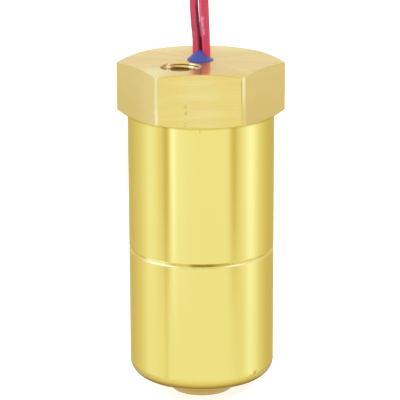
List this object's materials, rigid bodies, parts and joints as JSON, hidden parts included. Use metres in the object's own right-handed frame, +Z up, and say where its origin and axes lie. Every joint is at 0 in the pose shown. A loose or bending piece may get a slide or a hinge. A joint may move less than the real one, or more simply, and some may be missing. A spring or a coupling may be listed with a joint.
{
  "type": "float switch",
  "caption": "Externally piped liquid-level switch: a brass hexagon head and two-part round housing with a magnetic float and a reed switch inside, tapped ports above and below, and red leads.",
  "frame": {"origin": "centre of the round boss's underside, where the housing stands", "axes": "+Z up along the housing and the float's travel; the hexagon head's front flat faces -Y and its side corners lie on the X axis"},
  "size_m": [0.0432, 0.0708, 0.1148],
  "materials": {
    "housing_brass": "turned brass with fine machining marks, the head's top smooth and glossy",
    "bowl_brass": "smooth turned brass",
    "stem_brass": "drawn brass tube, satin",
    "blue_epoxy": "cast blue epoxy, glossy",
    "lead_insulation": "smooth red wire insulation with a soft sheen",
    "seal_rubber": "matte black rubber",
    "float_rubber": "foamed nitrile rubber, fine open grain",
    "cap_rubber": "matte black rubber",
    "ferrite": "sintered ferrite, dull dark grey",
    "spring_steel": "stamped spring steel",
    "washer_steel": "stainless steel sheet",
    "reed_glass": "clear glass with a faint green tint",
    "reed_metal": "nickel-iron strip",
    "clear_sleeve": "shrunk translucent sleeve",
    "solder": "soft solder, slightly uneven",
    "tinned_core": "stranded copper, tinned",
    "tie_nylon": "natural nylon"
  },
  "bodies": {
    "housing": {"upper_housing": "housing_brass", "lower_bowl": "bowl_brass", "joint_o_ring": "seal_rubber", "stem_tube": "stem_brass", "stem_potting": "blue_epoxy", "retaining_rings": "spring_steel", "stop_washer": "washer_steel", "reed_glass": "reed_glass", "upper_reed_blade": "reed_metal", "lower_reed_blade": "reed_metal", "reed_sleeve": "clear_sleeve", "solder_joints": "solder", "held_leads": "lead_insulation", "left_lead_core": "tinned_core", "lead_left": "lead_insulation", "lead_right": "lead_insulation", "leads_coil": "lead_insulation", "coil_ties": "tie_nylon", "lead_ends": "tinned_core"},
    "float": {"float_body": "float_rubber", "float_magnet": "ferrite", "magnet_cap": "cap_rubber"}
  },
  "joints": [
    {"name": "float_slide", "type": "slide", "parent": "housing", "child": "float", "axis": [0, 0, 1], "range_m": [0, 0.01]}
  ]
}
